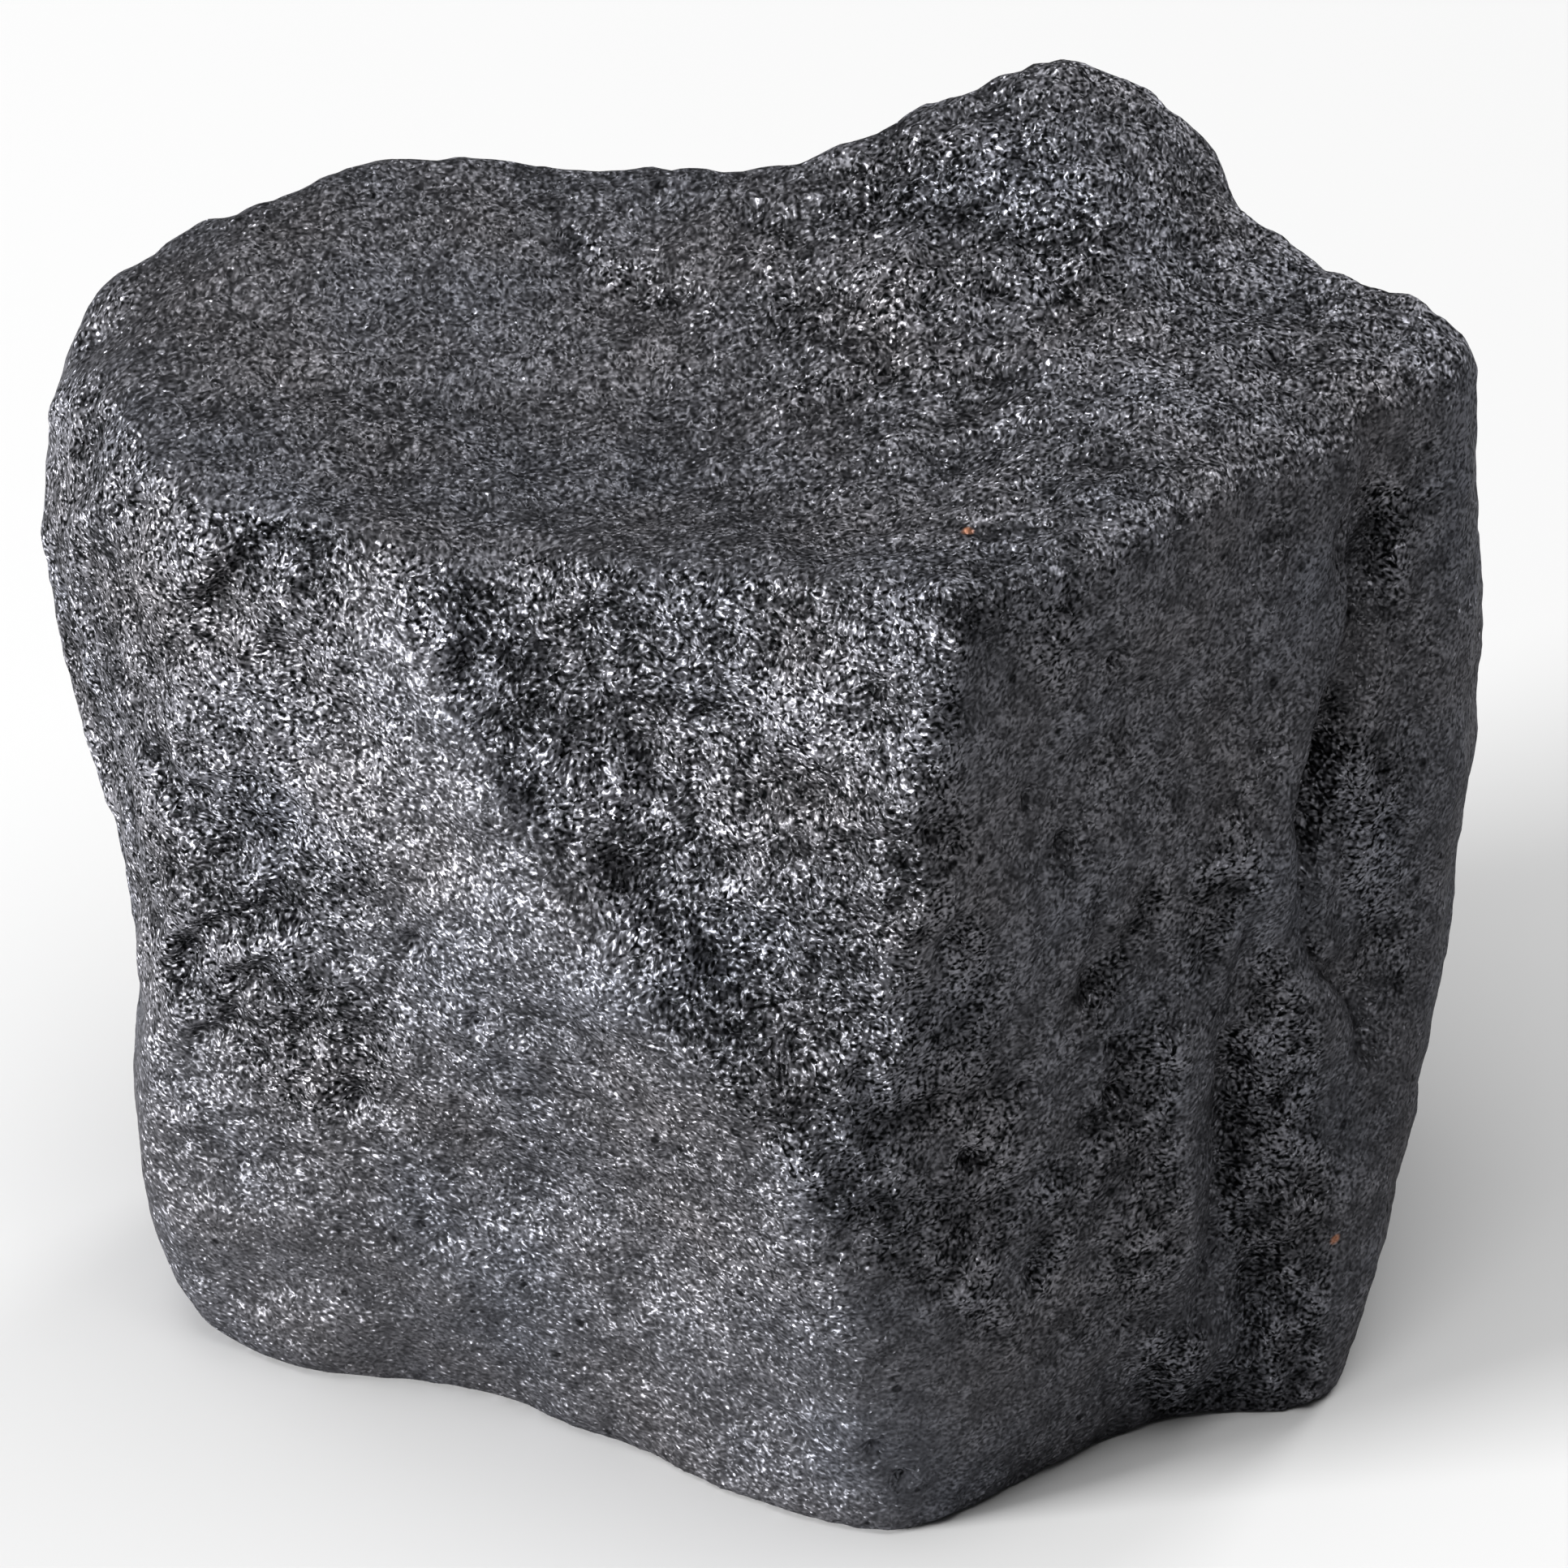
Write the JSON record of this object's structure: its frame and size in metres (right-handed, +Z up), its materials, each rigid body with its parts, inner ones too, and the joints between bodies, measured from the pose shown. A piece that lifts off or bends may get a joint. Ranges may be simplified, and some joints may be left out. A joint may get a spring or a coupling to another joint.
{
  "type": "hematite stone",
  "caption": "Rough tumbled lump of hematite, blocky, with a dished top, a peak at the back, stepped faces and a flat foot.",
  "frame": {"origin": "middle of the stone's outline seen from above, at the level of its flat foot", "axes": "+Z up from the foot, +X along the long way to the stepped end, -Y towards the front with the upright ridge"},
  "size_m": [0.0302, 0.0214, 0.0245],
  "materials": {
    "hematite": "dark steel-grey, fine-grained and sparkling, half metallic"
  },
  "bodies": {
    "root": {"hematite_stone": "hematite"}
  },
  "joints": []
}
